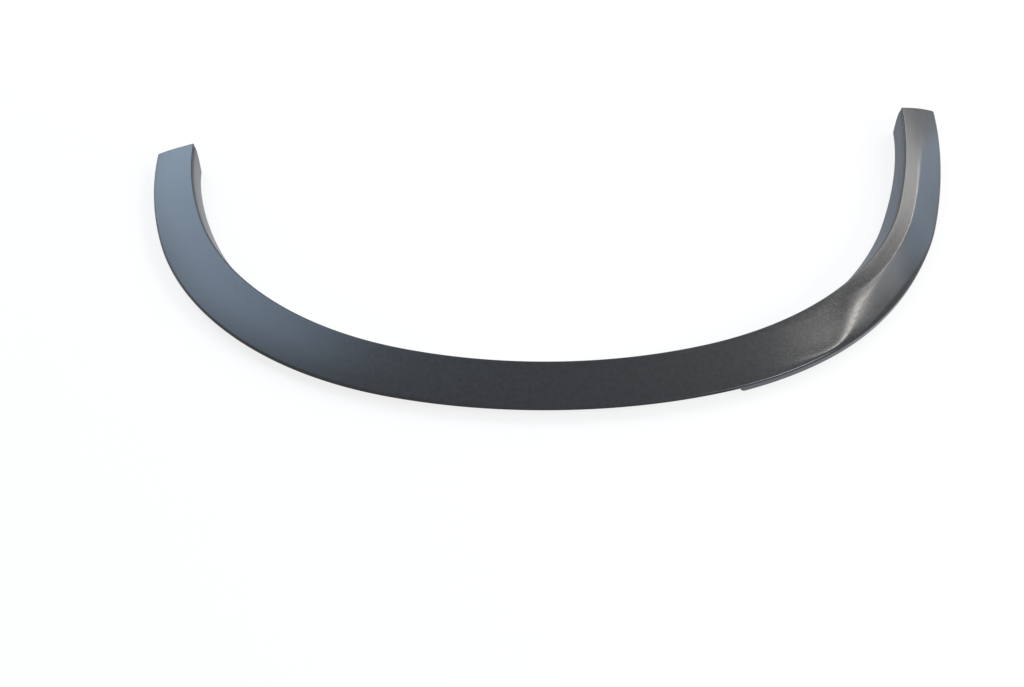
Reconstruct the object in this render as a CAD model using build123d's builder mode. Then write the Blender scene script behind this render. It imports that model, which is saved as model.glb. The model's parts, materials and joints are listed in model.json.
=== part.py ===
"""Wheel arch trim: one black plastic moulding that edges the wheel opening of a car.

It lies face up. The ridge, where the sloping face meets the return flange that goes into the wheel
opening, is drawn first as a chain of tangent arcs. Everything else is a section across that ridge.
In a section the first coordinate runs outwards from the ridge and the second one upwards.
"""
import os
from math import degrees, radians, tan

from build123d import *

# Plan of the ridge, in millimetres and degrees, from the middle of the crown outwards
crown_radius = 485.0
crown_half_angle = 17.2
short_shoulder_radius = 330.0
short_shoulder_angle = 54.5
short_leg_radius = 534.0
short_leg_length = 144.0
long_shoulder_radius = 351.0
long_shoulder_angle = 54.9
long_leg_radius = 914.0
long_leg_length = 195.0

# Section of the moulding
ridge_height = 32.0
wall = 2.6
flange_lean = 16.0
flange_lean_ends = 3.5
flange_steeper_from = 375.0
face_width_crown = 45.0
face_width_shoulders = 48.2
face_width_short_end = 43.5
face_width_long_leg = 41.5
widest_at = 250.0
long_leg_narrow_at = 410.0
face_drop = 19.0
face_drop_long_end = 14.0
face_bulge = 0.6
outer_band_bulge = 0.4
ridge_rounding = 1.4
ridge_rounding_long_end = 3.6
edge_chamfer = 0.8

# Crease that rises on the long leg and dies out again before its end
crease_share = 0.4
crease_height = 3.4
crease_left_at_end = 0.6
crease_start = 285.0
crease_full = 375.0
crease_easing = 490.0
band_bulge_long_leg = 0.3

# Lip that hangs from the outer edge, from beside the crown to the end of the long leg
lip_start = 163.0
lip_depth = 8.0
lip_wall = 2.0
lip_inset = 1.2
lip_corner = 4.5

# End cuts, turned away from a square cut in plan and leaning back towards the crown at the bottom
short_end_skew = 12.5
short_end_lean = 11.0
long_end_skew = 23.5
long_end_lean = 2.0
cutting_allowance = 40.0
trimming_allowance = 2.0

# Clip seats on the back of the face
clip_seat_count = 8
clip_seat_length = 22.0
clip_seat_width = 16.0
clip_seat_wall = 1.8
clip_seat_plate = 2.0
clip_seat_level = 11.0
clip_seat_offset = 22.0
clip_seat_end_margin = 60.0
clip_slot_width = 7.2
clip_slot_end = 2.5

# Gusset ribs in the corner behind the ridge
rib_count = 12
rib_thickness = 1.6
rib_reach = 11.0
rib_end_margin = 35.0

# Screw holes through the flange, over the crown where the wheel liner is fastened
screw_hole_radius = 2.6
screw_hole_level = 15.0
screw_hole_spacing = 250.0
screw_hole_count = 3

# Share of the face's wall that covers the root of what stands on its back
root_cover = 0.35

section_count = 25
lip_section_count = 11
up = Vector(0, 0, 1)

with BuildLine():
    crown_to_long = JernArc((0, 0), (1, 0), crown_radius, crown_half_angle)
    shoulder_long = JernArc(crown_to_long @ 1, crown_to_long % 1, long_shoulder_radius, long_shoulder_angle)
    long_turn = degrees((long_leg_length + 2 * cutting_allowance) / long_leg_radius)
    long_leg = JernArc(shoulder_long @ 1, shoulder_long % 1, long_leg_radius, long_turn)
    crown_to_short = JernArc((0, 0), (-1, 0), crown_radius, -crown_half_angle)
    shoulder_short = JernArc(
        crown_to_short @ 1, crown_to_short % 1, short_shoulder_radius, -short_shoulder_angle
    )
    short_turn = degrees((short_leg_length + 2 * cutting_allowance) / short_leg_radius)
    short_leg = JernArc(shoulder_short @ 1, shoulder_short % 1, short_leg_radius, -short_turn)

long_side = [crown_to_long, shoulder_long, long_leg]
short_side = [crown_to_short, shoulder_short, short_leg]
long_end = crown_to_long.length + shoulder_long.length + long_leg_length
short_end = -(crown_to_short.length + shoulder_short.length + short_leg_length)


def ridge_frame(along):
    """Point of the ridge in plan, its direction away from the crown and its outward direction."""
    run = abs(along)
    for arc in long_side if along >= 0 else short_side:
        if run <= arc.length:
            break
        run -= arc.length
    point = arc @ (run / arc.length)
    away = arc % (run / arc.length)
    outward = away.cross(up) if along >= 0 else up.cross(away)
    return point, away, outward


def section_plane(along):
    """Plane across the ridge, with its x outwards and its y up."""
    point, away, outward = ridge_frame(along)
    return Plane(origin=point, x_dir=outward, z_dir=outward.cross(up))


def ease(along, start, end):
    """Smooth step from 0 at start to 1 at end."""
    share = min(max((along - start) / (end - start), 0.0), 1.0)
    return share * share * (3 - 2 * share)


def face_width(along):
    """Width of the face in plan, which is largest at the shoulders."""
    leg_width = face_width_long_leg if along >= 0 else face_width_short_end
    narrow_at = long_leg_narrow_at if along >= 0 else -short_end
    widened = (face_width_shoulders - face_width_crown) * ease(abs(along), 0, widest_at)
    narrowed = (face_width_shoulders - leg_width) * ease(abs(along), widest_at, narrow_at)
    return face_width_crown + widened - narrowed


def lean(along):
    """How far the flange's back edge lies inside the ridge. The flange is steeper towards both ends."""
    end = long_end if along >= 0 else -short_end
    return flange_lean + (flange_lean_ends - flange_lean) * ease(abs(along), flange_steeper_from, end)


def drop(along):
    return face_drop + (face_drop_long_end - face_drop) * ease(along, crease_easing, long_end)


def crease(along):
    """Height of the crease above a straight face."""
    risen = ease(along, crease_start, crease_full)
    kept = 1 - (1 - crease_left_at_end / crease_height) * ease(along, crease_easing, long_end)
    return face_bulge + (crease_height - face_bulge) * risen * kept


def ridge_round(along):
    """Rounding of the ridge, which grows on the last stretch of the long leg."""
    return ridge_rounding + (ridge_rounding_long_end - ridge_rounding) * ease(along, crease_easing, long_end)


def top_corners(along):
    """Corners of the upper side: flange's foot, before it is trimmed, ridge, crease and outer edge."""
    width = face_width(along)
    edge_height = ridge_height - drop(along)
    crease_level = ridge_height - crease_share * drop(along) + crease(along)
    return [
        Vector(-lean(along) * (1 + trimming_allowance / ridge_height), -trimming_allowance),
        Vector(0, ridge_height),
        Vector(crease_share * width, crease_level),
        Vector(width, edge_height),
    ]


def inward(start, end):
    """Unit vector square to a line of the upper side, into the wall."""
    line = (end - start).normalized()
    return Vector(line.Y, -line.X)


def inner_corner(before, corner, after):
    """Corner of the back, one wall away from the two lines that meet at a corner of the upper side."""
    first = inward(before, corner)
    second = inward(corner, after)
    return corner + (first + second) * (wall / (1 + first.dot(second)))


def band_middle(along):
    """Middle of the outer band, which is a shallow arc from the crease to the outer edge."""
    back, ridge_top, crease_top, edge = top_corners(along)
    risen = ease(along, crease_start, crease_full)
    bulge = outer_band_bulge + (band_bulge_long_leg - outer_band_bulge) * risen
    return (crease_top + edge) / 2 - inward(crease_top, edge) * bulge


def under_face(along, out):
    """Height inside the face's wall at a distance from the ridge, where what stands on its back ends."""
    back, ridge_top, crease_top, edge = top_corners(along)
    start, end = (ridge_top, crease_top) if out < crease_top.X else (crease_top, edge)
    share = (out - start.X) / (end.X - start.X)
    return start.Y + (end.Y - start.Y) * share - root_cover * wall


def in_flange(along, level):
    """Middle of the flange's wall at a level above its back edge."""
    return -lean(along) * (1 - level / ridge_height) + wall / 2


def end_plane(along, skew, lean):
    """Plane of an end cut through the end of the ridge."""
    point, away, outward = ridge_frame(along)
    facing = away - outward * tan(radians(skew)) - up * tan(radians(lean))
    return Plane(origin=point + up * ridge_height, z_dir=facing)


def evenly(first, last, count):
    return [first + (last - first) * step / (count - 1) for step in range(count)]


clip_seat_near = clip_seat_offset - clip_seat_width / 2
clip_seat_far = clip_seat_offset + clip_seat_width / 2
rib_top = ridge_height - wall
first_clip_seat = short_end + clip_seat_end_margin
last_clip_seat = long_end - clip_seat_end_margin
clip_seat_places = evenly(first_clip_seat, last_clip_seat, clip_seat_count)
rib_places = evenly(short_end + rib_end_margin, long_end - rib_end_margin, rib_count)
screw_hole_places = [
    (step - (screw_hole_count - 1) / 2) * screw_hole_spacing for step in range(screw_hole_count)
]


def standing_wall(along, near, far, level):
    """Corners of an upright wall on the back of the face, in the section, down to a level."""
    return [
        (near, level),
        (far, level),
        (far, under_face(along, far)),
        (near, under_face(along, near)),
    ]


def gusset(along):
    """Corners of a rib in the angle between the flange and the face."""
    return [
        (in_flange(along, rib_top - rib_reach), rib_top - rib_reach),
        (rib_reach, under_face(along, rib_reach)),
        (in_flange(along, rib_top), rib_top),
    ]


def clip_seat_plane(along):
    """Level plane of a clip seat's plate, with its x along the trim."""
    point, away, outward = ridge_frame(along)
    centre = point + outward * clip_seat_offset + up * clip_seat_level
    return Plane(origin=centre, x_dir=outward.cross(up), z_dir=up)


def screw_hole_plane(along):
    """Plane on the flange's wheel side at a screw hole, facing the wheel."""
    point, away, outward = ridge_frame(along)
    out = -lean(along) * (1 - screw_hole_level / ridge_height)
    facing = up * lean(along) - outward * ridge_height
    return Plane(origin=point + outward * out + up * screw_hole_level, x_dir=away, z_dir=facing)


# Lip under the outer edge, with its first lower corner rounded off
with BuildPart() as lip:
    for along in evenly(lip_start, long_end + cutting_allowance, lip_section_count):
        lip_out = face_width(along) - lip_inset
        lip_foot = ridge_height - drop(along) - lip_depth
        with BuildSketch(section_plane(along)):
            Polygon(*standing_wall(along, lip_out - lip_wall, lip_out, lip_foot), align=None)
    loft()
    first_face = lip.faces().sort_by_distance(section_plane(lip_start).origin)[0]
    fillet(first_face.edges().sort_by(Axis.Z)[0], lip_corner)

# Clip seats: each is a plate with an open-ended slot, held off the face by two sides and an end
with BuildPart() as clip_seats:
    for along in clip_seat_places:
        for near in (clip_seat_near, clip_seat_far - clip_seat_wall):
            with BuildSketch(section_plane(along)):
                Polygon(*standing_wall(along, near, near + clip_seat_wall, clip_seat_level), align=None)
    extrude(amount=clip_seat_length / 2, both=True)
    for along in clip_seat_places:
        with BuildSketch(section_plane(along).offset(clip_seat_length / 2 - clip_seat_wall)):
            Polygon(*standing_wall(along, clip_seat_near, clip_seat_far, clip_seat_level), align=None)
    extrude(amount=clip_seat_wall)
    for along in clip_seat_places:
        with BuildSketch(clip_seat_plane(along)):
            Rectangle(clip_seat_length, clip_seat_width)
            with Locations((clip_slot_end, 0)):
                Circle(clip_slot_width / 2, mode=Mode.SUBTRACT)
                Rectangle(
                    clip_seat_length,
                    clip_slot_width,
                    align=(Align.MAX, Align.CENTER),
                    mode=Mode.SUBTRACT,
                )
    extrude(amount=clip_seat_plate)

# Gusset ribs in the angle between the flange and the face
with BuildPart() as gussets:
    for along in rib_places:
        with BuildSketch(section_plane(along)):
            Polygon(*gusset(along), align=None)
    extrude(amount=rib_thickness / 2, both=True)

with BuildPart() as arch_trim:
    # Face and return flange, one open angle section all along the ridge
    for along in evenly(short_end - cutting_allowance, long_end + cutting_allowance, section_count):
        back, ridge_top, crease_top, edge = top_corners(along)
        flange_foot = back + Vector(wall / inward(back, ridge_top).X, 0)
        edge_foot = edge - Vector(0, wall)
        crease_under = inner_corner(ridge_top, crease_top, edge)
        middle = band_middle(along)
        with BuildSketch(section_plane(along)) as section:
            with BuildLine():
                Line(back, ridge_top)
                Line(ridge_top, crease_top)
                ThreePointArc(crease_top, middle, edge)
                Line(edge, edge_foot)
                ThreePointArc(edge_foot, middle + inward(crease_top, edge) * wall, crease_under)
                Polyline(crease_under, inner_corner(back, ridge_top, crease_top), flange_foot, back)
            make_face()
            fillet(section.vertices().sort_by_distance(ridge_top)[0], ridge_round(along))
            chamfer(section.vertices().sort_by_distance(edge)[0], edge_chamfer)
    loft()
    add([lip.part, clip_seats.part, gussets.part])

    # Screw holes, square to the flange
    with Locations(*[screw_hole_plane(along) for along in screw_hole_places]):
        Hole(screw_hole_radius, depth=2 * wall)

    # Back edge of the flange, trimmed level
    split(bisect_by=Plane.XY, keep=Keep.TOP)

    # End cuts
    cut_size = 2 * (face_width_shoulders + ridge_height)
    with Locations(
        end_plane(short_end, short_end_skew, short_end_lean),
        end_plane(long_end, long_end_skew, long_end_lean),
    ):
        Box(
            cut_size,
            cut_size,
            3 * cutting_allowance,
            align=(Align.CENTER, Align.CENTER, Align.MIN),
            mode=Mode.SUBTRACT,
        )

# The frame's origin is under the middle of the trim, at the level it rests on
box = arch_trim.part.bounding_box()
middle_of_box = box.center()
arch_trim.part.locate(Location((-middle_of_box.X, -middle_of_box.Y, -box.min.Z)))
arch_trim.part.label = "arch_trim"

os.makedirs("parts", exist_ok=True)
export_step(arch_trim.part, "parts/arch_trim.step")
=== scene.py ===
import json
from math import cos, pi, radians, sin, tan

import bpy
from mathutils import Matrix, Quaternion, Vector


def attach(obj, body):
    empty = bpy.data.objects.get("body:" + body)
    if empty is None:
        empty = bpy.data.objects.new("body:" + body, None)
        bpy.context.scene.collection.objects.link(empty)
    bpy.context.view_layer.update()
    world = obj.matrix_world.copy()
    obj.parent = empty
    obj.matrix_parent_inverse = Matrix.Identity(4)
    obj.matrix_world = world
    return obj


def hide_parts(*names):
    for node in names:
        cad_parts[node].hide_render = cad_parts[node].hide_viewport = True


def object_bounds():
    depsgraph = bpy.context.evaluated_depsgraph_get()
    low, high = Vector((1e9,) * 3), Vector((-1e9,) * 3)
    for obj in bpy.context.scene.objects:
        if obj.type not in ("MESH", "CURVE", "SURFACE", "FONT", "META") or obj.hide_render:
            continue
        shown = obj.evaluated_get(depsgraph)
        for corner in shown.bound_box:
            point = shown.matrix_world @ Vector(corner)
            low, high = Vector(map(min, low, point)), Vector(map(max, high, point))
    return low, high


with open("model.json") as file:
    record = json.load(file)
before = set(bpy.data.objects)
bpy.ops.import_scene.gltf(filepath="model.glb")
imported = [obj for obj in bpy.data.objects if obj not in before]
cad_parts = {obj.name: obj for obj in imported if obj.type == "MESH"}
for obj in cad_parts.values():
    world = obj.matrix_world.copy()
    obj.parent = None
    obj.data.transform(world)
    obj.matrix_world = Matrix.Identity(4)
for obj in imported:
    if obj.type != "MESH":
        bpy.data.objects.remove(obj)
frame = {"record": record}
cad_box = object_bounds()
mm = 0.001

# Face and return flange of the moulding
# One injection-moulded angle of black plastic that follows the ridge, where the sloping face
# turns down into the wheel opening. It is laid out straight first, as along, out and up.
tree = bpy.data.node_groups.new("arch_trim_moulding", "GeometryNodeTree")
tree.interface.new_socket("Geometry", in_out="OUTPUT", socket_type="NodeSocketGeometry")
tree_sizes = tree.nodes.new("NodeGroupInput")
size_values = {}


class Quantity:
    """A number or a vector that varies over the moulding, so that its rules read as plain sums."""

    def __init__(self, socket):
        self.socket = socket
        self.is_vector = socket.type == "VECTOR"

    def __add__(self, other):
        return vector("ADD", self, other) if self.is_vector else number("ADD", self, other)

    def __radd__(self, other):
        return self + other

    def __sub__(self, other):
        return vector("SUBTRACT", self, other) if self.is_vector else number("SUBTRACT", self, other)

    def __rsub__(self, other):
        return number("SUBTRACT", other, self)

    def __mul__(self, factor):
        return scaled(self, factor) if self.is_vector else number("MULTIPLY", self, factor)

    def __rmul__(self, factor):
        return self * factor

    def __truediv__(self, other):
        return number("DIVIDE", self, other)


def plug(socket, value):
    """Feeds a socket from a quantity, or sets it to a plain value."""
    if isinstance(value, Quantity):
        tree.links.new(value.socket, socket)
    else:
        socket.default_value = value


def operation_node(kind, operation, values):
    node = tree.nodes.new(kind)
    node.operation = operation
    for socket, value in zip(node.inputs, values):
        plug(socket, value)
    return node


def number(operation, *values):
    return Quantity(operation_node("ShaderNodeMath", operation, values).outputs["Value"])


def vector(operation, *values):
    node = operation_node("ShaderNodeVectorMath", operation, values)
    return Quantity(node.outputs["Value" if operation == "DOT_PRODUCT" else "Vector"])


def scaled(direction, factor):
    node = operation_node("ShaderNodeVectorMath", "SCALE", [direction])
    plug(node.inputs["Scale"], factor)
    return Quantity(node.outputs["Vector"])


def size(name, value):
    """One of the moulding's sizes, as a named input of the tree."""
    socket = tree.interface.new_socket(name, in_out="INPUT", socket_type="NodeSocketFloat")
    socket.default_value = value
    size_values[socket.identifier] = value
    return Quantity(tree_sizes.outputs[name])


def ease(value, start, end):
    """Smooth step from 0 at start to 1 at end."""
    node = tree.nodes.new("ShaderNodeMapRange")
    node.interpolation_type = "SMOOTHSTEP"
    plug(node.inputs["Value"], value)
    plug(node.inputs["From Min"], start)
    plug(node.inputs["From Max"], end)
    return Quantity(node.outputs["Result"])


def place(along, out, up):
    node = tree.nodes.new("ShaderNodeCombineXYZ")
    for socket, value in zip(node.inputs, (along, out, up)):
        plug(socket, value)
    return Quantity(node.outputs["Vector"])


def parts(spot):
    node = tree.nodes.new("ShaderNodeSeparateXYZ")
    plug(node.inputs["Vector"], spot)
    return [Quantity(socket) for socket in node.outputs]


def position():
    return Quantity(tree.nodes.new("GeometryNodeInputPosition").outputs["Position"])


def between(start, end, share):
    """Value or point at a share of the way from the start to the end."""
    return start + (end - start) * share


def hump(share):
    """0 at both ends of the way and 1 in its middle."""
    return 4 * share * (1 - share)


# Lengths along the ridge count from the middle of the crown, towards the long leg above zero
crown_radius = size("Crown radius", 485 * mm)
crown_turn = size("Crown half angle", radians(17.2))
short_shoulder_radius = size("Short shoulder radius", 330 * mm)
short_shoulder_turn = size("Short shoulder angle", radians(54.5))
short_leg_radius = size("Short leg radius", 534 * mm)
short_leg_length = size("Short leg length", 144 * mm)
long_shoulder_radius = size("Long shoulder radius", 351 * mm)
long_shoulder_turn = size("Long shoulder angle", radians(54.9))
long_leg_radius = size("Long leg radius", 914 * mm)
long_leg_length = size("Long leg length", 194.6 * mm)
crown_length = crown_radius * crown_turn
long_end = crown_length + long_shoulder_radius * long_shoulder_turn + long_leg_length
short_run = crown_length + short_shoulder_radius * short_shoulder_turn + short_leg_length
short_end = 0 - short_run

# Each patch of the moulding knows how far along it is, and how far across and into the wall
spot_name = "spot"
spot_node = tree.nodes.new("GeometryNodeInputNamedAttribute")
spot_node.data_type = "FLOAT_VECTOR"
spot_node.inputs["Name"].default_value = spot_name
along, across, depth = parts(Quantity(spot_node.outputs["Attribute"]))

ridge_height = size("Ridge height", 32 * mm)
wall = size("Wall", 2.6 * mm)
flange_lean = size("Flange lean", 16 * mm)
flange_lean_short_shoulder = size("Flange lean on the short shoulder", 14.6 * mm)
flange_lean_long_shoulder = size("Flange lean on the long shoulder", 17.7 * mm)
flange_lean_short_end = size("Flange lean at the short end", 5.6 * mm)
flange_lean_long_end = size("Flange lean at the long end", 5 * mm)
flange_steeper_from = size("Flange steeper from", 375 * mm)
flange_bulge = size("Flange bulge", 1 * mm)
flange_hunch = size("Flange hunch at the ends", 1.6 * mm)
face_width_crown = size("Face width at the crown", 44.9 * mm)
face_width_shoulders = size("Face width at the shoulders", 47.9 * mm)
face_width_short_end = size("Face width at the short end", 43 * mm)
face_width_long_leg = size("Face width on the long leg", 41.2 * mm)
widest_at = size("Widest at", 250 * mm)
long_leg_narrow_at = size("Long leg narrow at", 445 * mm)
face_drop = size("Face drop", 19 * mm)
face_drop_long_end = size("Face drop at the long end", 14 * mm)
face_bulge = size("Face bulge", 0.6 * mm)
crease_share_leg = size("Crease place across the face", 0.4)
crease_share_start = size("Crease place where it starts", 0.9)
crease_out_from = size("Crease leaves the middle at", 150 * mm)
crease_out_full = size("Crease comes in from", 260 * mm)
crease_in_full = size("Crease is in by", 321 * mm)
crease_height = size("Crease height", 3.4 * mm)
crease_start = size("Crease start", 235 * mm)
crease_full = size("Crease full", 375 * mm)
crease_crisper_from = size("Crease crisper from", 295 * mm)
crease_crisp_by = size("Crease crisp by", 390 * mm)
crease_easing = size("Crease easing", 490 * mm)
band_bulge = size("Outer band bulge", 0.4 * mm)
band_bulge_long_leg = size("Outer band bulge on the long leg", 0.3 * mm)


def by_side(place_along, on_short, on_long):
    """One value on the short side of the crown and another one on the long side."""
    return between(on_short, on_long, number("GREATER_THAN", place_along, 0))


# How the face and the flange change on their way along the ridge
run = number("ABSOLUTE", along)
leg_width = by_side(along, face_width_short_end, face_width_long_leg)
narrow_at = by_side(along, short_run, long_leg_narrow_at)
widened = (face_width_shoulders - face_width_crown) * ease(run, 0, widest_at)
narrowed = (face_width_shoulders - leg_width) * ease(run, widest_at, narrow_at)
width = face_width_crown + widened - narrowed
steeper = ease(run, flange_steeper_from, by_side(along, short_run, long_end))
lean_shoulder = by_side(along, flange_lean_short_shoulder, flange_lean_long_shoulder)
lean_end = by_side(along, flange_lean_short_end, flange_lean_long_end)
lean_before = between(flange_lean, lean_shoulder, ease(run, 0, flange_steeper_from))
lean = between(lean_before, lean_end, steeper)

# The crease starts near the outer edge of the long shoulder, comes in across the face, follows the
# long leg and eases out at its end
near_edge = ease(along, crease_out_from, crease_out_full) * ease(along, crease_in_full, crease_out_full)
crease_share = between(crease_share_leg, crease_share_start, near_edge)
risen = ease(along, crease_start, crease_full)
easing = ease(along, crease_easing, long_end)
drop = between(face_drop, face_drop_long_end, easing)
crease_left = face_bulge / crease_height
crease = face_bulge + (crease_height - face_bulge) * risen * (1 - (1 - crease_left) * easing)
bulge = between(band_bulge, band_bulge_long_leg, risen)

foot = place(0, 0 - lean, 0)
ridge_top = place(0, 0, ridge_height)
crease_top = place(0, crease_share * width, ridge_height - crease_share * drop + crease)
edge = place(0, width, ridge_height - drop)


def direction(start, end):
    return vector("NORMALIZE", end - start)


def into_wall(line):
    """Direction square to a line of the upper side, into the wall."""
    return vector("CROSS_PRODUCT", line, (1, 0, 0))


def under_corner(before, corner, after):
    """Corner of the back, one wall away from the two lines that meet at a corner of the upper side."""
    first = into_wall(direction(before, corner))
    second = into_wall(direction(corner, after))
    return corner + (first + second) * (wall / (1 + vector("DOT_PRODUCT", first, second)))


flange_line = direction(foot, ridge_top)
face_line = direction(ridge_top, crease_top)
band_line = direction(crease_top, edge)
flange_in = parts(into_wall(flange_line))[1]
foot_under = foot + place(0, wall / flange_in, 0)
ridge_under = under_corner(foot, ridge_top, crease_top)
crease_under = under_corner(ridge_top, crease_top, edge)
edge_under = edge - place(0, 0, wall)


def rounded(start, line_in, end, line_out, pull, share):
    """Curve that leaves a line and runs tangent into the next one."""
    rest = 1 - share
    leaving = start + line_in * pull
    coming = end - line_out * pull
    return (
        start * (rest * rest * rest)
        + leaving * (3 * rest * rest * share)
        + coming * (3 * rest * share * share)
        + end * (share * share * share)
    )


def bowed(start, middle, end, share):
    """Shallow curve whose two end lines meet at the middle point."""
    rest = 1 - share
    return start * (rest * rest) + middle * (2 * rest * share) + end * (share * share)


def bowed_line(start, middle, end, share):
    """Direction of that curve."""
    return vector("NORMALIZE", (middle - start) * (1 - share) + (end - middle) * share)


# Roundings: how far each one reaches from its corner along the two lines
tangent_pull = 0.62
ridge_reach_usual = size("Ridge rounding", 1.6 * mm)
ridge_reach_end = size("Ridge rounding at the long end", 1.8 * mm)
ridge_under_reach = size("Rounding behind the ridge", 1.5 * mm)
crease_reach_crisp = size("Crease rounding where it is crisp", 1.7 * mm)
crease_reach_soft = size("Crease rounding where it is soft", 9 * mm)
crease_reach_most = size("Crease rounding at most, as a share of the outer band", 0.4)
crease_under_reach = size("Rounding behind the crease", 2 * mm)
edge_fall = size("Outer edge rounding", 1.6 * mm)
edge_roll = size("Outer edge roll on the long shoulder", 4.5 * mm)
edge_roll_from = size("Outer edge roll from", 285 * mm)
edge_roll_full = size("Outer edge roll full", 350 * mm)
edge_roll_to = size("Outer edge roll to", 460 * mm)

ridge_reach = between(ridge_reach_usual, ridge_reach_end, easing)
rolled = ease(along, edge_roll_from, edge_roll_full) * ease(along, edge_roll_to, edge_roll_full)
edge_reach = edge_fall + edge_roll * rolled
crispness = ease(along, crease_crisper_from, crease_crisp_by) * (1 - easing)
band_middle = (crease_top + edge) * 0.5 - into_wall(band_line) * (2 * bulge)
band_middle_under = (crease_under + edge_under) * 0.5 - into_wall(band_line) * (2 * bulge)
band_length = vector("DOT_PRODUCT", edge - crease_top, band_line)
crease_reach_in = between(crease_reach_soft, crease_reach_crisp, crispness)
crease_reach = number("MINIMUM", crease_reach_in, crease_reach_most * band_length)
band_first = crease_reach / band_length
band_last = 1 - edge_reach / band_length
under_first = crease_under_reach / band_length

ridge_in = ridge_top - flange_line * ridge_reach
ridge_out = ridge_top + face_line * ridge_reach
crease_in = crease_top - face_line * crease_reach_in
crease_in_roll = face_line * (crease_reach_in / crease_reach)
crease_out = bowed(crease_top, band_middle, edge, band_first)
crease_out_line = bowed_line(crease_top, band_middle, edge, band_first)
edge_in = bowed(crease_top, band_middle, edge, band_last)
edge_in_roll = bowed_line(crease_top, band_middle, edge, band_last) * (edge_reach / edge_fall)
edge_down = place(0, 0, -1)
edge_out = edge + edge_down * edge_fall
ridge_under_in = ridge_under - flange_line * ridge_under_reach
ridge_under_out = ridge_under + face_line * ridge_under_reach
crease_under_in = crease_under - face_line * crease_under_reach
crease_under_out = bowed(crease_under, band_middle_under, edge_under, under_first)
crease_under_line = bowed_line(crease_under, band_middle_under, edge_under, under_first)
edge_under_in = bowed(crease_under, band_middle_under, edge_under, band_last)

# A fine groove under the ridge parts the face from the flange, which bulges a little to the wheel
groove_width = size("Groove width", 1.8 * mm)
groove_depth = size("Groove depth", 0.9 * mm)
groove_fade = size("Groove fade at the ends", 4 * mm)
bulge_place_usual = size("Flange bulge place", 0.5)
bulge_place_end = size("Flange bulge place at the ends", 0.92)
groove_left = ease(along, short_end, short_end + groove_fade) * ease(along, long_end, long_end - groove_fade)
groove_low = ridge_in - flange_line * groove_width
groove_under = ridge_under_in - flange_line * groove_width
groove_shape = hump(across) * hump(across) * groove_left
bulge_out = into_wall(flange_line) * (flange_bulge + flange_hunch * steeper)
bulge_place = between(bulge_place_usual, bulge_place_end, steeper)
flange_middle = between(foot, groove_low, bulge_place) - bulge_out
flange_middle_under = between(foot_under, groove_under, bulge_place) - bulge_out

# The outer band has closer rows next to the edge, where the corner of the long end is rounded
edge_closeness = 1.6
to_edge = 1 - number("POWER", 1 - across, edge_closeness)
band_share = between(band_first, band_last, to_edge)
under_share = between(under_first, band_last, to_edge)

# Rows of faces, upper side and under side of each stretch, from the flange's foot to the outer edge
upper_and_under = [
    (
        8,
        bowed(foot, flange_middle, groove_low, across),
        bowed(foot_under, flange_middle_under, groove_under, across),
    ),
    (
        10,
        between(groove_low, ridge_in, across) + into_wall(flange_line) * (groove_depth * groove_shape),
        between(groove_under, ridge_under_in, across),
    ),
    (
        8,
        rounded(ridge_in, flange_line, ridge_out, face_line, ridge_reach * tangent_pull, across),
        rounded(
            ridge_under_in, flange_line, ridge_under_out, face_line, ridge_under_reach * tangent_pull, across
        ),
    ),
    (4, between(ridge_out, crease_in, across), between(ridge_under_out, crease_under_in, across)),
    (
        8,
        rounded(crease_in, crease_in_roll, crease_out, crease_out_line, crease_reach * tangent_pull, across),
        rounded(
            crease_under_in, face_line, crease_under_out, crease_under_line,
            crease_under_reach * tangent_pull, across,
        ),
    ),
    (
        14,
        bowed(crease_top, band_middle, edge, band_share),
        bowed(crease_under, band_middle_under, edge_under, under_share),
    ),
    (
        5,
        rounded(edge_in, edge_in_roll, edge_out, edge_down, edge_fall * tangent_pull, across),
        between(edge_under_in, edge_under, across),
    ),
]


def node_after(geometry, kind):
    """Node that takes the geometry in."""
    node = tree.nodes.new(kind)
    tree.links.new(geometry, node.inputs[0])
    return node


def stored(geometry, name, value):
    """The geometry with a vector kept at each of its points under a name."""
    store = node_after(geometry, "GeometryNodeStoreNamedAttribute")
    store.data_type = "FLOAT_VECTOR"
    store.domain = "POINT"
    store.inputs["Name"].default_value = name
    plug(store.inputs["Value"], value)
    return store.outputs["Geometry"]


def patch(columns, rows, spot, point, flipped=False):
    """Grid of faces that gets its spot, then its place in the moulding laid out straight."""
    grid = tree.nodes.new("GeometryNodeMeshGrid")
    grid.inputs["Vertices X"].default_value = columns + 1
    grid.inputs["Vertices Y"].default_value = rows + 1
    half_grid = (0.5, 0.5, 0)
    column, row = parts(position() + half_grid)[:2]
    kept = stored(grid.outputs["Mesh"], spot_name, spot(column, row))
    moved = node_after(kept, "GeometryNodeSetPosition")
    plug(moved.inputs["Position"], place(along, 0, 0) + point)
    if not flipped:
        return moved.outputs["Geometry"]
    return node_after(moved.outputs["Geometry"], "GeometryNodeFlipFaces").outputs["Mesh"]


def joined(patches):
    """One mesh of all the patches, with their seams closed."""
    join = tree.nodes.new("GeometryNodeJoinGeometry")
    for each in reversed(patches):
        tree.links.new(each, join.inputs["Geometry"])
    merge = node_after(join.outputs["Geometry"], "GeometryNodeMergeByDistance")
    seam_gap = 0.001 * mm
    merge.inputs["Distance"].default_value = seam_gap
    return merge.outputs["Geometry"]


def run_of_trim(column, row):
    return place(between(short_end, long_end, column), row, 0)


def end_spot(end):
    return lambda column, row: place(end, column, row)


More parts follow.
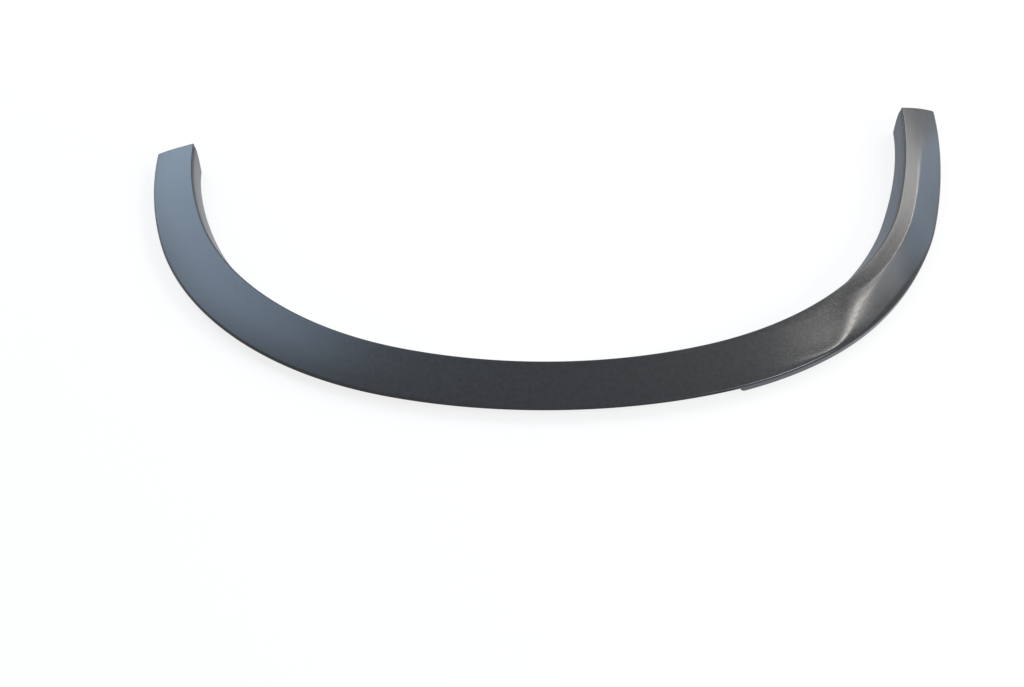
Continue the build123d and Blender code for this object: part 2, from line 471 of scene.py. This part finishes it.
columns_along = 430
shell_patches = []
for rows, upper, under in upper_and_under:
    shell_patches.append(patch(columns_along, rows, run_of_trim, upper))
    shell_patches.append(patch(columns_along, rows, run_of_trim, under, flipped=True))
    end_wall = between(upper, under, depth)
    shell_patches.append(patch(rows, 1, end_spot(short_end), end_wall))
    shell_patches.append(patch(rows, 1, end_spot(long_end), end_wall, flipped=True))
shell_patches.append(patch(columns_along, 1, run_of_trim, between(foot_under, foot, across)))
shell_patches.append(patch(columns_along, 1, run_of_trim, between(edge_out, edge_under, across)))
shell = joined(shell_patches)

root_depth = size("Root depth as a share of the wall", 0.4)


def under_face(out):
    """Height inside the wall of the face, where what stands on its back is rooted."""
    crease_out_place, crease_up = parts(crease_top)[1:]
    edge_up = ridge_height - drop
    inner = between(ridge_height, crease_up, out / crease_out_place)
    outer = between(crease_up, edge_up, (out - crease_out_place) / (width - crease_out_place))
    beyond = number("GREATER_THAN", out, crease_out_place)
    return between(inner, outer, beyond) - root_depth * wall


# Outer lip
# A thin wall that hangs from the outer edge, set back a little, from the end of the crown to the
# end of the long leg. Its first corner is rounded off.
lip_depth = size("Lip depth", 8 * mm)
lip_wall = size("Lip wall", 2 * mm)
lip_inset = size("Lip inset", 1.2 * mm)
lip_corner = size("Lip corner", 4.5 * mm)
lip_from = 163 * mm
lip_start = size("Lip start", lip_from)

to_corner = number("MAXIMUM", lip_start + lip_corner - along, 0)
lip_cut = lip_corner - number("SQRT", number("MAXIMUM", lip_corner * lip_corner - to_corner * to_corner, 0))
lip_foot = ridge_height - drop - lip_depth + lip_cut
lip_far = width - lip_inset
lip_near = lip_far - lip_wall
far_top = place(0, lip_far, under_face(lip_far))
far_foot = place(0, lip_far, lip_foot)
near_top = place(0, lip_near, under_face(lip_near))
near_foot = place(0, lip_near, lip_foot)


def run_of_lip(column, row):
    """Closer columns at the rounded start."""
    return place(between(lip_start, long_end, column * column), row, 0)


columns_of_lip = 240
lip_across = between(between(far_top, far_foot, across), between(near_top, near_foot, across), depth)
lip_patches = [
    patch(1, 1, end_spot(lip_start), lip_across),
    patch(1, 1, end_spot(long_end), lip_across, flipped=True),
]
for start, end in [(far_top, far_foot), (far_foot, near_foot), (near_foot, near_top), (near_top, far_top)]:
    lip_patches.append(patch(columns_of_lip, 1, run_of_lip, between(start, end, across)))
lip = joined(lip_patches)

# End cuts
# Both ends are cut on a slant, and the long one is slightly bowed, with its outer corner rounded.
# The last stretch before each end follows the cut.
short_end_skew = size("Short end skew", tan(radians(17.3)))
short_end_lean = size("Short end lean", tan(radians(14.5)))
short_end_beyond = size("Short end beyond its run", 2.1 * mm)
long_end_skew = size("Long end skew", tan(radians(23.5)))
long_end_lean = size("Long end lean", tan(radians(2)))
end_bow = size("Long end bow", 0.9 * mm)
end_corner = size("Long end corner", 3 * mm)
end_reach = size("Reach of the end cuts", 70 * mm)

out, up = parts(position())[1:]
below = up - ridge_height
out_share = number("MAXIMUM", number("MINIMUM", out / width, 1), 0)
into_corner = number("MAXIMUM", out - width + end_corner, 0)
left_of_corner = number("MAXIMUM", end_corner * end_corner - into_corner * into_corner, 0)
corner_cut = end_corner - number("SQRT", left_of_corner)
bow = end_bow * hump(out_share)
long_cut = out * long_end_skew + below * long_end_lean + bow - corner_cut
short_cut = out * short_end_skew + below * short_end_lean + short_end_beyond
near_short = ease(along, short_end + end_reach, short_end)
near_long = ease(along, long_end - end_reach, long_end)


def cut_ends(body):
    """Moves the body's points along the trim, so that its last sections lie in the end cuts."""
    moved = node_after(body, "GeometryNodeSetPosition")
    plug(moved.inputs["Offset"], place(near_long * long_cut - near_short * short_cut, 0, 0))
    return moved.outputs["Geometry"]


shell = cut_ends(shell)
lip = cut_ends(lip)

# Clip seats
# Moulded plates with an open-ended slot, held off the back of the face by two sides and an end.
# A trim clip slides into each slot and snaps into the car's wing.
seat_count = 8
seat_length = size("Clip seat length", 22 * mm)
seat_width = size("Clip seat width", 16 * mm)
seat_wall = size("Clip seat wall", 1.8 * mm)
seat_plate = size("Clip seat plate", 2 * mm)
seat_level = size("Clip seat level", 11 * mm)
seat_offset = size("Clip seat offset", 22 * mm)
seat_margin = size("Clip seat end margin", 60 * mm)
slot_width = size("Clip slot width", 7.2 * mm)
slot_end = size("Clip slot end", 2.5 * mm)
seat_sides_height = 10 * mm


def block(length, breadth, height, middle):
    """Box of a length, breadth and height that stands on its middle point."""
    cube = tree.nodes.new("GeometryNodeMeshCube")
    plug(cube.inputs["Size"], place(length, breadth, height))
    moved = node_after(cube.outputs["Mesh"], "GeometryNodeTransform")
    plug(moved.inputs["Translation"], middle + place(0, 0, height * 0.5))
    return moved.outputs["Geometry"]


def cut_away(body, tools):
    cut = tree.nodes.new("GeometryNodeMeshBoolean")
    cut.operation = "DIFFERENCE"
    cut.solver = "MANIFOLD"
    tree.links.new(body, cut.inputs["Mesh 1"])
    for tool in tools:
        tree.links.new(tool, cut.inputs["Mesh 2"])
    return cut.outputs["Mesh"]


def round_bar(radius, length, middle, turn):
    sides = 40
    bar = tree.nodes.new("GeometryNodeMeshCylinder")
    bar.inputs["Vertices"].default_value = sides
    plug(bar.inputs["Radius"], radius)
    plug(bar.inputs["Depth"], length)
    moved = node_after(bar.outputs["Mesh"], "GeometryNodeTransform")
    plug(moved.inputs["Translation"], middle)
    plug(moved.inputs["Rotation"], place(turn, 0, 0))
    return moved.outputs["Geometry"]


def in_a_row(first, last, count, instance):
    """Copies of a shape at even distances along the trim."""
    line = tree.nodes.new("GeometryNodeMeshLine")
    line.mode = "END_POINTS"
    line.inputs["Count"].default_value = count
    plug(line.inputs["Start Location"], place(first, 0, 0))
    plug(line.inputs["Offset"], place(last, 0, 0))
    copies = node_after(line.outputs["Mesh"], "GeometryNodeInstanceOnPoints")
    tree.links.new(instance, copies.inputs["Instance"])
    realized = node_after(copies.outputs["Instances"], "GeometryNodeRealizeInstances")
    return stored(realized.outputs["Geometry"], spot_name, position())


seat_base = place(0, seat_offset, seat_level)
side_reach = place(0, (seat_width - seat_wall) * 0.5, 0)
end_reach_back = place((seat_wall - seat_length) * 0.5, 0, 0)
slot_middle = seat_base - place(slot_end, 0, 0)
slot_run = place(seat_length * 0.5, 0, 0)
slot_height = seat_plate * 4
plate = cut_away(
    block(seat_length, seat_width, seat_plate, seat_base),
    [
        round_bar(slot_width * 0.5, slot_height, slot_middle, 0),
        block(seat_length, slot_width, slot_height, slot_middle + slot_run - place(0, 0, seat_plate)),
    ],
)
seat = tree.nodes.new("GeometryNodeJoinGeometry")
for piece in (
    block(seat_length, seat_wall, seat_sides_height, seat_base + side_reach),
    block(seat_length, seat_wall, seat_sides_height, seat_base - side_reach),
    block(seat_wall, seat_width, seat_sides_height, seat_base + end_reach_back),
    plate,
):
    tree.links.new(piece, seat.inputs["Geometry"])
seats_flat = in_a_row(short_end + seat_margin, long_end - seat_margin, seat_count, seat.outputs["Geometry"])

# The upper points of each seat's sides and end are moved up into the back of the face
seats = node_after(seats_flat, "GeometryNodeSetPosition")
seat_along, seat_out, seat_up = parts(position())
plug(seats.inputs["Selection"], number("GREATER_THAN", seat_up, seat_level + seat_sides_height * 0.5))
plug(seats.inputs["Position"], place(seat_along, seat_out, under_face(seat_out)))

# Gusset ribs
# Thin triangular webs in the angle behind the ridge, which keep the flange square to the face.
rib_count = 12
rib_thickness = size("Rib thickness", 1.6 * mm)
rib_reach = size("Rib reach", 11 * mm)
rib_margin = size("Rib end margin", 35 * mm)
rib_top = ridge_height - wall
rib_foot = rib_top - rib_reach


def in_flange(level):
    """Middle of the flange's wall at a level above its foot, where its bow reaches half its bulge."""
    share = level / ridge_height
    bulged = (flange_bulge + flange_hunch * steeper) * 0.5 * hump(share)
    return wall * 0.5 - lean * (1 - share) - bulged


# A unit block of the rib's thickness, whose two outer edges close up to one corner under the face
unit_rib = tree.nodes.new("GeometryNodeMeshCube")
plug(unit_rib.inputs["Size"], place(rib_thickness, 1, 1))
rib_block = node_after(unit_rib.outputs["Mesh"], "GeometryNodeTransform")
rib_block.inputs["Translation"].default_value = (0, 0.5, 0.5)
ribs_flat = in_a_row(short_end + rib_margin, long_end - rib_margin, rib_count, rib_block.outputs["Geometry"])
rib_along, rib_out_share, rib_up_share = parts(position())
rib_low = place(rib_along, in_flange(rib_foot), rib_foot)
rib_high = place(rib_along, in_flange(rib_top), rib_top)
rib_tip = place(rib_along, rib_reach, under_face(rib_reach))
rib_corner = between(between(rib_low, rib_high, rib_up_share), rib_tip, rib_out_share)
ribs_shaped = node_after(ribs_flat, "GeometryNodeSetPosition")
plug(ribs_shaped.inputs["Position"], rib_corner)
ribs = node_after(ribs_shaped.outputs["Geometry"], "GeometryNodeMergeByDistance")
rib_tip_gap = 0.01 * mm
ribs.inputs["Distance"].default_value = rib_tip_gap

# Screw holes
# Three plain holes square through the flange over the crown, where the wheel liner is fastened.
screw_count = 3
screw_radius = size("Screw hole radius", 2.6 * mm)
screw_level = size("Screw hole level", 15 * mm)
screw_spacing = size("Screw hole spacing", 250 * mm)
screw_bar_length = 12 * mm
flange_turn = number("ARCTAN2", ridge_height, flange_lean)
hole_middle = place(0, 0 - flange_lean * (1 - screw_level / ridge_height), screw_level)
bar = round_bar(screw_radius, screw_bar_length, hole_middle, flange_turn)
bars = in_a_row(0 - screw_spacing, screw_spacing, screw_count, bar)
shell = cut_away(shell, [bars])

# The moulding bent round the wheel opening
# The straight layout is bent to the plan of the ridge, which is a chain of tangent arcs.
join_all = tree.nodes.new("GeometryNodeJoinGeometry")
for piece in (ribs.outputs["Geometry"], seats.outputs["Geometry"], lip, shell):
    tree.links.new(piece, join_all.inputs["Geometry"])
flat_name = "flat_place"
kept_flat = stored(join_all.outputs["Geometry"], flat_name, position())

flat_along, flat_out, flat_up = parts(position())
side = by_side(flat_along, -1, 1)
flat_run = flat_along * side
shoulder_radius = by_side(flat_along, short_shoulder_radius, long_shoulder_radius)
shoulder_turn = by_side(flat_along, short_shoulder_turn, long_shoulder_turn)
shoulder_length = shoulder_radius * shoulder_turn
leg_radius = by_side(flat_along, short_leg_radius, long_leg_radius)
to_shoulder = number("MAXIMUM", flat_run - crown_length, 0)
turn_crown = number("MINIMUM", flat_run, crown_length) / crown_radius
turn_shoulder = crown_turn + number("MINIMUM", to_shoulder, shoulder_length) / shoulder_radius
leg_first = crown_turn + shoulder_turn
turn_leg = leg_first + number("MAXIMUM", to_shoulder - shoulder_length, 0) / leg_radius


def sine(angle):
    return number("SINE", angle)


def cosine(angle):
    return number("COSINE", angle)


ridge_across = (
    crown_radius * sine(turn_crown)
    + shoulder_radius * (sine(turn_shoulder) - sine(crown_turn))
    + leg_radius * (sine(turn_leg) - sine(leg_first))
)
ridge_back = (
    crown_radius * (1 - cosine(turn_crown))
    + shoulder_radius * (cosine(crown_turn) - cosine(turn_shoulder))
    + leg_radius * (cosine(leg_first) - cosine(turn_leg))
)
heading = turn_crown + turn_shoulder - crown_turn + turn_leg - leg_first
mounts = {mount["name"]: mount for mount in frame["record"]["mounts"]}
crown_across = mounts["screw_hole_crown"]["pos_m"][0]
ridge_from_front = 45 * mm
crown_back = cad_box[0].y + ridge_from_front
bent_across = side * (ridge_across + flat_out * sine(heading)) + crown_across
bent_back = ridge_back - flat_out * cosine(heading) + crown_back
bend = node_after(kept_flat, "GeometryNodeSetPosition")
plug(bend.inputs["Position"], place(bent_across, bent_back, flat_up))
outward = node_after(bend.outputs["Geometry"], "GeometryNodeFlipFaces")
smooth = node_after(outward.outputs["Mesh"], "GeometryNodeSetShadeSmooth")
whole = node_after(smooth.outputs["Geometry"], "GeometryNodeRealizeInstances")
dressed = node_after(whole.outputs["Geometry"], "GeometryNodeSetMaterial")

# Black grained plastic
# Polypropylene moulded in colour, with a fine leathery grain from the tool. It is satin, and the
# long side is rubbed a little smoother, with faint streaks that run along it. The flange and the
# lip are painted a paler grey that stands in for the light they catch, and the flange is more matt.
plastic = bpy.data.materials.new("black_plastic")
plastic.use_nodes = True
paint = plastic.node_tree
shader = paint.nodes["Principled BSDF"]
shader.inputs["Specular IOR Level"].default_value = 0.38


def paint_node(kind, **values):
    """Node of the plastic, with its inputs linked or set by name."""
    node = paint.nodes.new(kind)
    for name, value in values.items():
        socket = node.inputs[name.replace("_", " ")]
        if isinstance(value, bpy.types.NodeSocket):
            paint.links.new(value, socket)
        else:
            socket.default_value = value
    return node


def paint_of_two(operation, first, second):
    """Sum, product or greater one of two of the plastic's values."""
    node = paint.nodes.new("ShaderNodeMath")
    node.operation = operation
    paint.links.new(first, node.inputs[0])
    paint.links.new(second, node.inputs[1])
    return node.outputs["Value"]


def paint_step(value, limits):
    """0 at the first limit of the value and 1 at the second one."""
    start, end = limits
    return paint_node("ShaderNodeMapRange", Value=value, From_Min=start, From_Max=end).outputs["Result"]


def paint_between(share, start, end):
    """Value at a share of the way from the start to the end."""
    return paint_node("ShaderNodeMapRange", Value=share, To_Min=start, To_Max=end).outputs["Result"]


# Where the tones change, along the trim, out from the ridge and up from the floor, and the tones
rubbed_along = (130 * mm, 260 * mm)
flange_out = (-0.5 * mm, -2 * mm)
lip_along = (lip_from - 3 * mm, lip_from)
lip_out = (35 * mm, 37 * mm)
lip_up = (12 * mm, 11 * mm)
darkest_black = (0.006, 0.0075, 0.0095, 1)
lightest_black = (0.013, 0.015, 0.018, 1)
# Paler grey painted on the flange and the lip in place of the light that falls on them
grey_painted_light = (0.075, 0.08, 0.09, 1)
grain_depth = 0.1 * mm

objects = paint.nodes.new("ShaderNodeTexCoord").outputs["Object"]
flat = paint.nodes.new("ShaderNodeAttribute")
flat.attribute_name = flat_name
flat_parts = paint_node("ShaderNodeSeparateXYZ", Vector=flat.outputs["Vector"])
paint_along, paint_out, paint_up = flat_parts.outputs
grain = paint_node("ShaderNodeTexNoise", Vector=objects, Scale=900, Detail=2, Roughness=0.6).outputs["Fac"]
mottle = paint_node("ShaderNodeTexNoise", Vector=objects, Scale=240, Detail=3, Roughness=0.6).outputs["Fac"]
stretched = paint_node("ShaderNodeMapping", Vector=flat.outputs["Vector"], Scale=(14, 700, 700))
streaked = paint_node("ShaderNodeTexNoise", Vector=stretched.outputs["Vector"], Scale=1, Detail=3)
streaks = streaked.outputs["Fac"]
rubbed = paint_step(paint_along, rubbed_along)
on_flange = paint_step(paint_out, flange_out)
at_lip = paint_of_two("MULTIPLY", paint_step(paint_up, lip_up), paint_step(paint_out, lip_out))
on_lip = paint_of_two("MULTIPLY", paint_step(paint_along, lip_along), at_lip)

black = paint_node("ShaderNodeValToRGB", Fac=mottle)
darkest, lightest = black.color_ramp.elements
darkest.position = 0.3
darkest.color = darkest_black
lightest.position = 0.7
lightest.color = lightest_black
# Painted light: the flange and the lip get a paler grey that stands in for the light falling on them
painted_light_on_flange_and_lip = paint_node(
    "ShaderNodeMixRGB", Fac=paint_of_two("MAXIMUM", on_flange, on_lip), Color1=black.outputs["Color"],
    Color2=grey_painted_light,
)
paint.links.new(painted_light_on_flange_and_lip.outputs["Color"], shader.inputs["Base Color"])

satin = paint_between(mottle, 0.3, 0.42)
smoother = paint_of_two("MULTIPLY", rubbed, paint_between(streaks, -0.209, -0.099))
more_matt = paint_of_two("MULTIPLY", on_flange, paint_between(rubbed, 0.05, 0.4))
roughness = paint_of_two("ADD", paint_of_two("ADD", satin, smoother), more_matt)
paint.links.new(roughness, shader.inputs["Roughness"])

grain_left = paint_between(rubbed, 0.25, 0.04)
grained = paint_node("ShaderNodeBump", Height=grain, Strength=grain_left, Distance=grain_depth)
scored = paint_node(
    "ShaderNodeBump", Height=paint_of_two("MULTIPLY", streaks, rubbed), Strength=0.06, Distance=grain_depth,
    Normal=grained.outputs["Normal"],
)
paint.links.new(scored.outputs["Normal"], shader.inputs["Normal"])
dressed.inputs["Material"].default_value = plastic

# The finished trim
# The tree gets its sizes and a small bevel softens the edges, and what comes out is the trim's mesh.
tree_end = tree.nodes.new("NodeGroupOutput")
tree.links.new(dressed.outputs["Geometry"], tree_end.inputs["Geometry"])
trim = bpy.data.objects.new("trim_moulding", bpy.data.meshes.new("trim_moulding"))
bpy.context.scene.collection.objects.link(trim)
moulding = trim.modifiers.new("moulding", "NODES")
moulding.node_group = tree
for identifier, value in size_values.items():
    moulding[identifier] = value
soften = trim.modifiers.new("softened edges", "BEVEL")
soften.width = 0.35 * mm
soften.segments = 2
soften.limit_method = "ANGLE"
soften.angle_limit = radians(40)
soften.use_clamp_overlap = False
solid = trim.evaluated_get(bpy.context.evaluated_depsgraph_get())
trim_mesh = bpy.data.meshes.new_from_object(solid)
trim.modifiers.clear()
trim.data = trim_mesh
trim_mesh.set_sharp_from_angle(angle=radians(38))
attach(trim, "root")
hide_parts("arch_trim")

# Floor
# A plain white sheet that shows white to the camera and in reflections, and keeps a soft shadow.
floor_mesh = bpy.data.meshes.new("floor")
reach = 8.0
corners = [(-reach, -reach, 0), (reach, -reach, 0), (reach, reach, 0), (-reach, reach, 0)]
floor_mesh.from_pydata(corners, [], [(0, 1, 2, 3)])
floor = bpy.data.objects.new("floor", floor_mesh)
bpy.context.scene.collection.objects.link(floor)


def seen_directly(nodes, links):
    """1 for rays from the camera, in reflections and through glass, and 0 for the light on things."""
    path = nodes.new("ShaderNodeLightPath")
    seen = path.outputs["Is Camera Ray"]
    for ray in ("Is Glossy Ray", "Is Transmission Ray"):
        either = nodes.new("ShaderNodeMath")
        either.operation = "MAXIMUM"
        links.new(seen, either.inputs[0])
        links.new(path.outputs[ray], either.inputs[1])
        seen = either.outputs["Value"]
    return seen


floor_share_of_white = 0.82
white_sheet = bpy.data.materials.new("white_sheet")
white_sheet.use_nodes = True
sheet_nodes = white_sheet.node_tree.nodes
sheet_links = white_sheet.node_tree.links
sheet_nodes.clear()
matt = sheet_nodes.new("ShaderNodeBsdfDiffuse")
matt.inputs["Color"].default_value = (0.9, 0.9, 0.9, 1)
glow = sheet_nodes.new("ShaderNodeEmission")
glow.inputs["Strength"].default_value = 1.0
share = sheet_nodes.new("ShaderNodeMath")
share.operation = "MULTIPLY"
sheet_links.new(seen_directly(sheet_nodes, sheet_links), share.inputs[0])
share.inputs[1].default_value = floor_share_of_white
mixed = sheet_nodes.new("ShaderNodeMixShader")
sheet_links.new(share.outputs["Value"], mixed.inputs["Fac"])
sheet_links.new(matt.outputs["BSDF"], mixed.inputs[1])
sheet_links.new(glow.outputs["Emission"], mixed.inputs[2])
sheet_out = sheet_nodes.new("ShaderNodeOutputMaterial")
sheet_links.new(mixed.outputs["Shader"], sheet_out.inputs["Surface"])
floor_mesh.materials.append(white_sheet)

# Light
# A white room with eight soft panels for the satin face to mirror: two cool ones behind on the left,
# three warm ones behind on the right, which draw the inner band and the crease, two cooler ones beside
# those, and one at the right front for the outer edge.
room_light = 0.4
world = bpy.data.worlds.new("white_room")
bpy.context.scene.world = world
world.use_nodes = True
room_nodes = world.node_tree.nodes
room_links = world.node_tree.links
room = room_nodes["Background"]
room.inputs["Color"].default_value = (1, 1, 1, 1)
level = room_nodes.new("ShaderNodeMapRange")
level.inputs["To Min"].default_value = room_light
level.inputs["To Max"].default_value = 1.0
room_links.new(seen_directly(room_nodes, room_links), level.inputs["Value"])
room_links.new(level.outputs["Result"], room.inputs["Strength"])


def window(name, azimuth, elevation, wide, tall, brightness, colour, roll=0):
    """Soft panel of light that faces the trim, at an angle from straight behind it and above the floor."""
    distance = 3.5
    azimuth, elevation = radians(azimuth), radians(elevation)
    towards = Vector((sin(azimuth) * cos(elevation), cos(azimuth) * cos(elevation), sin(elevation)))
    lamp = bpy.data.lights.new(name, "AREA")
    lamp.shape = "RECTANGLE"
    lamp.size = wide
    lamp.size_y = tall
    lamp.energy = brightness * pi * wide * tall
    lamp.color = colour
    panel = bpy.data.objects.new(name, lamp)
    bpy.context.scene.collection.objects.link(panel)
    panel.location = towards * distance
    facing = (-towards).to_track_quat("-Z", "Y")
    panel.rotation_euler = (facing @ Quaternion((0, 0, 1), radians(roll))).to_euler()


blue = (0.52, 0.74, 1.0)
sky_blue = (0.54, 0.74, 1.0)
deep_blue = (0.5, 0.72, 1.0)
pale_blue = (0.85, 0.93, 1.0)
cool_white = (0.92, 0.96, 1.0)
warm_white = (1.0, 0.98, 0.94)
warm = (1.0, 0.96, 0.9)
window("cool_window", azimuth=-36, elevation=18, wide=1.6, tall=1.2, brightness=5.0, colour=blue)
window("cool_sky", azimuth=-53, elevation=45, wide=1.3, tall=2.1, brightness=6.8, colour=sky_blue)
window("warm_window", azimuth=33, elevation=34, wide=0.9, tall=1.5, brightness=4.5, colour=warm_white)
window("warm_strip", azimuth=48.5, elevation=33, wide=0.16, tall=1.7, brightness=14.0, colour=warm, roll=28)
window("side_window", azimuth=52, elevation=18, wide=1.2, tall=0.9, brightness=1.9, colour=deep_blue)
window("side_upper", azimuth=62, elevation=33, wide=0.7, tall=0.9, brightness=3.2, colour=cool_white)
window("warm_corner", azimuth=70, elevation=47, wide=0.32, tall=0.95, brightness=21.0, colour=warm, roll=36)
window("edge_window", azimuth=121, elevation=28, wide=1.4, tall=1.0, brightness=18.0, colour=pale_blue)

# Camera
# Looks down on the lying trim from in front of its crown, as in the photograph.
view_from = (-0.0686, -1.3539, 1.0188)
view_down = radians(40)
view_turn = radians(0.84)
view_width = radians(35)
camera_data = bpy.data.cameras.new("camera")
camera_data.sensor_fit = "HORIZONTAL"
camera_data.angle = view_width
camera = bpy.data.objects.new("camera", camera_data)
camera.location = view_from
camera.rotation_euler = (radians(90) - view_down, 0, -view_turn)
bpy.context.scene.collection.objects.link(camera)
bpy.context.scene.camera = camera
bpy.context.scene.view_settings.view_transform = "Standard"
